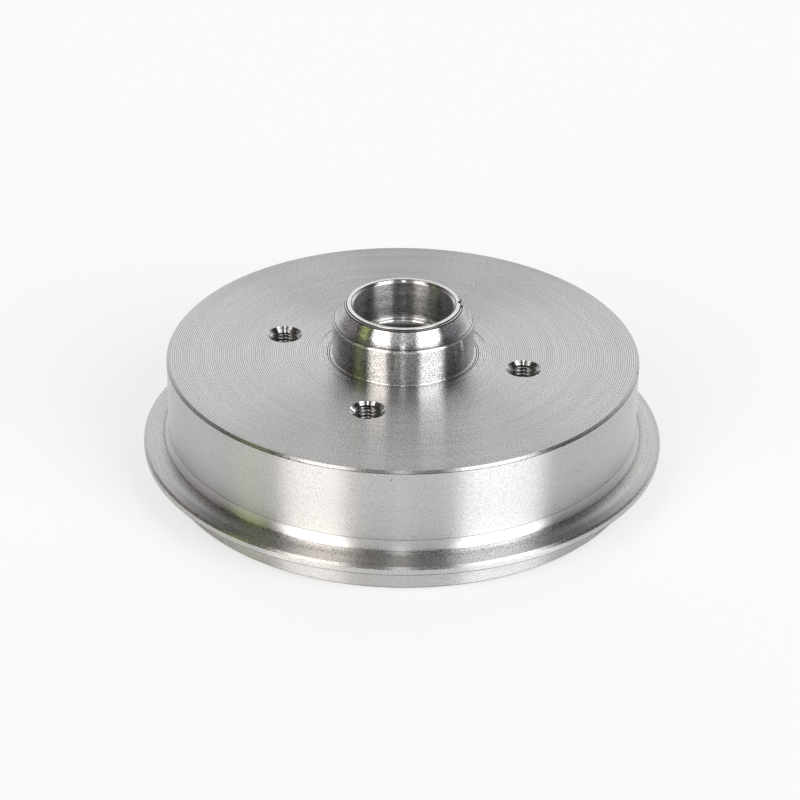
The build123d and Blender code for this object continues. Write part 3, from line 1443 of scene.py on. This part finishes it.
@dataclass(frozen=True)
class Studio:
    """A pale floor, soft light all round and the camera."""

    camera_azimuth: float = 15.54
    camera_pitch: float = 29.273
    camera_distance: float = 1.13409
    target_height: float = 0.030
    lens: float = 125.53
    pan_px: float = 2.427
    tilt_px: float = -3.157
    roll: float = 0.697
    focal_px: float = 2789.56
    floor_size: float = 12.0
    floor_colour: tuple[float, float, float, float] = (0.87, 0.87, 0.875, 1.0)
    overhead: float = 0.14
    overhead_rise: tuple[float, float] = (44, 60)
    overhead_fall: tuple[float, float] = (66, 82)
    horizon: float = 0.02
    pale: float = 0.95
    floor_glow: float = 0.1
    floor_bleach: float = 0.6
    glow_from: float = 0.096
    glow_width: float = 0.006
    panels: tuple[Panel, ...] = (
        Panel(-41, 15, 0, 54, 4.4, (1.0, 0.95, 0.9), soft_height=5),
        Panel(-41, 15, 62, 74, 0.3, (1.0, 0.75, 0.6), soft_height=4),
        Panel(48, 20, 0, 54, 4.6, (0.97, 0.98, 1.0), soft_height=5),
        Panel(0, 25, 0, 48, 0.64, soft=8),
        Panel(0, 1.5, 5, 45, 0.5, soft=1.5),
        Panel(0, 5, 50, 66, 3.5, soft=2.5, soft_height=4),
        Panel(176, 52, 0, 47, 1.05, soft=20, soft_height=10),
        Panel(180, 45, 44, 73, 0.42, soft=25, soft_height=9),
        Panel(-74, 8, 0, 38, 0.6, (0.85, 1.0, 0.35)),
        Panel(-104, 14, 0, 35, 0.2, (1.0, 0.88, 0.88)),
        Panel(94, 20, 0, 30, 0.22, (0.87, 0.9, 1.0), soft=8),
    )

    def build(self) -> None:
        """Lays the floor, lights the room and sets up the camera."""
        self.lay_floor()
        self.light_room()
        self.set_camera()
        bpy.context.scene.view_settings.view_transform = "Standard"

    def lay_floor(self) -> None:
        """Lays a plain pale floor under the open rim."""
        release()
        bpy.ops.mesh.primitive_plane_add(size=self.floor_size, location=(0, 0, 0))
        floor = bpy.context.object
        floor.name = "floor"
        made, board = new_material("pale_floor")
        cloth = board.add("BsdfDiffuse", Color=self.floor_colour)
        away = board.vector("LENGTH", board.add("TexCoord").outputs["Object"])
        full = self.glow_from + self.glow_width
        strength = board.remap(away, self.glow_from, full, 0, self.floor_glow)
        glow = board.add("Emission", Strength=strength)
        both = board.add("AddShader")
        board.feed(both.inputs[0], cloth.outputs[0])
        board.feed(both.inputs[1], glow.outputs[0])
        seen = board.add("LightPath").outputs["Is Camera Ray"]
        pale = board.add("MixShader", Fac=board.math("MULTIPLY", seen, self.floor_bleach))
        board.feed(pale.inputs[1], both.outputs[0])
        board.feed(pale.inputs[2], board.add("Emission").outputs[0])
        board.add("OutputMaterial", Surface=pale.outputs[0])
        floor.data.materials.append(made)

    def light_room(self) -> None:
        """Makes the room's light from a dim base, the overhead light and the panels."""
        world = bpy.data.worlds.new("studio")
        bpy.context.scene.world = world
        world.use_nodes = True
        board = NodeBoard(world.node_tree)
        way = board.add("TexCoord").outputs["Generated"]
        turn = board.add("VectorRotate", {"rotation_type": "Z_AXIS"}, Vector=way)
        turn.inputs["Angle"].default_value = -math.radians(self.camera_azimuth)
        parts = board.add("SeparateXYZ", Vector=turn.outputs[0])
        east, north, rise = parts.outputs
        south = board.math("MULTIPLY", north, -1)
        azimuth = board.math("DEGREES", board.math("ARCTAN2", east, south))
        elevation = board.math("DEGREES", board.math("ARCSINE", rise))
        rising = board.remap(elevation, *self.overhead_rise, 0, 1, smooth=True)
        falling = board.remap(elevation, *self.overhead_fall, 1, 0, smooth=True)
        ring = board.math("MULTIPLY", rising, falling)
        base = board.math("MULTIPLY_ADD", ring, self.overhead - self.horizon, self.horizon)
        light = board.scaled((1, 1, 1), base)
        for panel in self.panels:
            share = self.panel_share(board, panel, azimuth, elevation)
            glow = board.scaled(panel.tint, board.math("MULTIPLY", share, panel.light))
            light = board.vector("ADD", light, glow)
        seen = board.add("LightPath").outputs["Is Camera Ray"]
        plain = board.add("Background", Color=(self.pale, self.pale, self.pale, 1.0))
        room = board.add("Background", Color=light)
        mix = board.add("MixShader", Fac=seen)
        board.feed(mix.inputs[1], room.outputs[0])
        board.feed(mix.inputs[2], plain.outputs[0])
        board.add("OutputWorld", Surface=mix.outputs[0])

    def panel_share(
        self, board: NodeBoard, panel: Panel, azimuth: Socket, elevation: Socket
    ) -> Socket:
        """Finds how much of a panel lies in a direction.

        Args:
            board: The node board.
            panel: The panel.
            azimuth: The socket with the direction's azimuth from the camera's side.
            elevation: The socket with its elevation.

        Returns:
            The socket with the share from 0 to 1.
        """
        off = board.math("WRAP", board.math("SUBTRACT", azimuth, panel.azimuth), 180, -180)
        sides = (
            (board.math("ABSOLUTE", off), panel.half_width, panel.soft, (1, 0)),
            (elevation, panel.low, panel.soft_height, (0, 1)),
            (elevation, panel.high, panel.soft_height, (1, 0)),
        )
        wide, up, down = (
            board.remap(way, edge - soft, edge + soft, *ends, smooth=True)
            for way, edge, soft, ends in sides
        )
        return board.math("MULTIPLY", wide, board.math("MULTIPLY", up, down))

    def set_camera(self) -> None:
        """Sets the camera at the photograph's viewing angle."""
        pitch = math.radians(self.camera_pitch)
        turn = Matrix.Rotation(math.radians(self.camera_azimuth), 3, "Z")
        back = turn @ Vector((0, -math.cos(pitch), math.sin(pitch)))
        aim = (
            turn
            @ Matrix.Rotation(math.pi / 2 - pitch, 3, "X")
            @ Matrix.Rotation(math.atan(self.pan_px / self.focal_px), 3, "Y")
            @ Matrix.Rotation(math.atan(self.tilt_px / self.focal_px), 3, "X")
            @ Matrix.Rotation(math.radians(self.roll), 3, "Z")
        )
        data = bpy.data.cameras.new("camera")
        data.lens = self.lens
        camera = bpy.data.objects.new("camera", data)
        bpy.context.scene.collection.objects.link(camera)
        place = Vector((0, 0, self.target_height)) + back * self.camera_distance
        camera.matrix_world = Matrix.Translation(place) @ aim.to_4x4()
        bpy.context.scene.camera = camera


def report(pieces: Iterable[bpy.types.Object]) -> None:
    """Logs each piece's name and number of faces."""
    for piece in pieces:
        LOG.info("%s: %d faces", piece.name, len(piece.data.polygons))


def main() -> None:
    """Builds the drum and its studio."""
    logging.basicConfig(level=logging.INFO, format="%(name)s %(message)s")
    drum = BrakeDrum().build()
    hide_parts("brake_drum")
    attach(drum, "root")
    Studio().build()
    report([drum])


if __name__ == "__main__":
    main()
